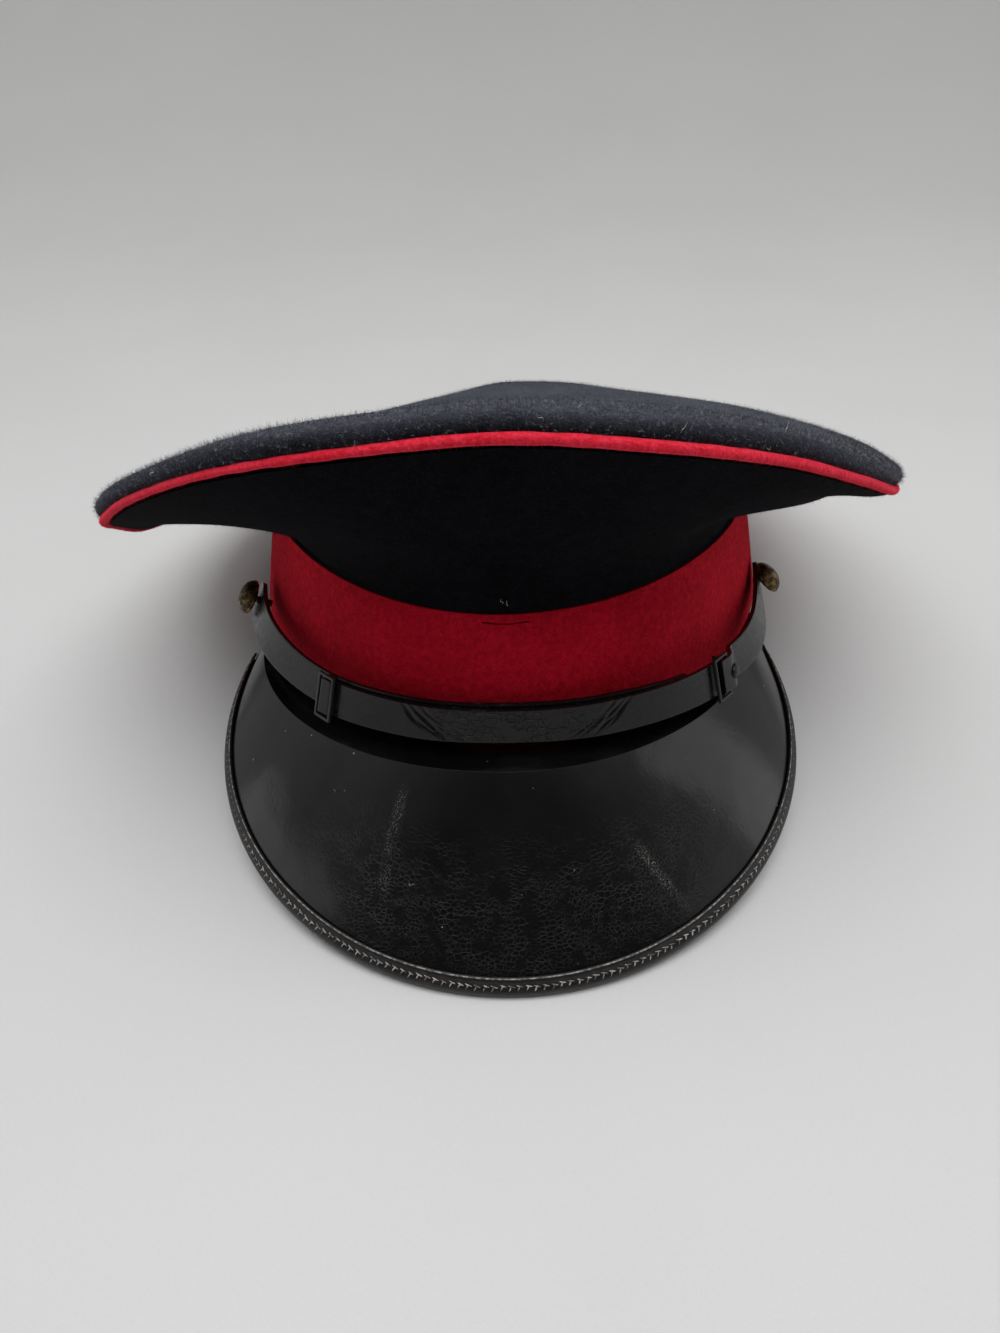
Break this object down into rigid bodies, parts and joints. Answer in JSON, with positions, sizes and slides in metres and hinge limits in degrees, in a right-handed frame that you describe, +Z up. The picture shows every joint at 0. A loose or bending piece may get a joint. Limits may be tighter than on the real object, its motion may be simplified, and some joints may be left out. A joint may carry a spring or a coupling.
{
  "type": "peaked cap",
  "caption": "Dark cloth dress cap with a red band and red piping, a black patent leather peak and a chin strap held by brass buttons.",
  "frame": {"origin": "middle of the cap's box on the surface that it rests on", "axes": "+Z up from that surface, -Y to the front where the peak is, +X to the right as seen from the front"},
  "size_m": [0.2582, 0.2944, 0.15],
  "materials": {
    "dark_cloth": "napped navy wool cloth",
    "red_cloth": "felted red wool cloth",
    "red_piping": "red wool cloth over a cord",
    "patent_leather": "glossy black patent",
    "binding_leather": "stitched dull leather",
    "strap_leather": "creased black patent",
    "black_metal": "worn black lacquer",
    "button_brass": "tarnished brass"
  },
  "bodies": {
    "root": {"crown_top": "dark_cloth", "quarter_front_left": "dark_cloth", "quarter_front_right": "dark_cloth", "quarter_back_left": "dark_cloth", "quarter_back_right": "dark_cloth", "piping": "red_piping", "band": "red_cloth", "peak": "patent_leather", "peak_binding": "binding_leather", "strap_left": "strap_leather", "strap_front": "strap_leather", "strap_right": "strap_leather", "slide_left": "black_metal", "slide_right": "black_metal", "strap_rivet": "black_metal", "button_left": "button_brass", "button_right": "button_brass"}
  },
  "joints": []
}
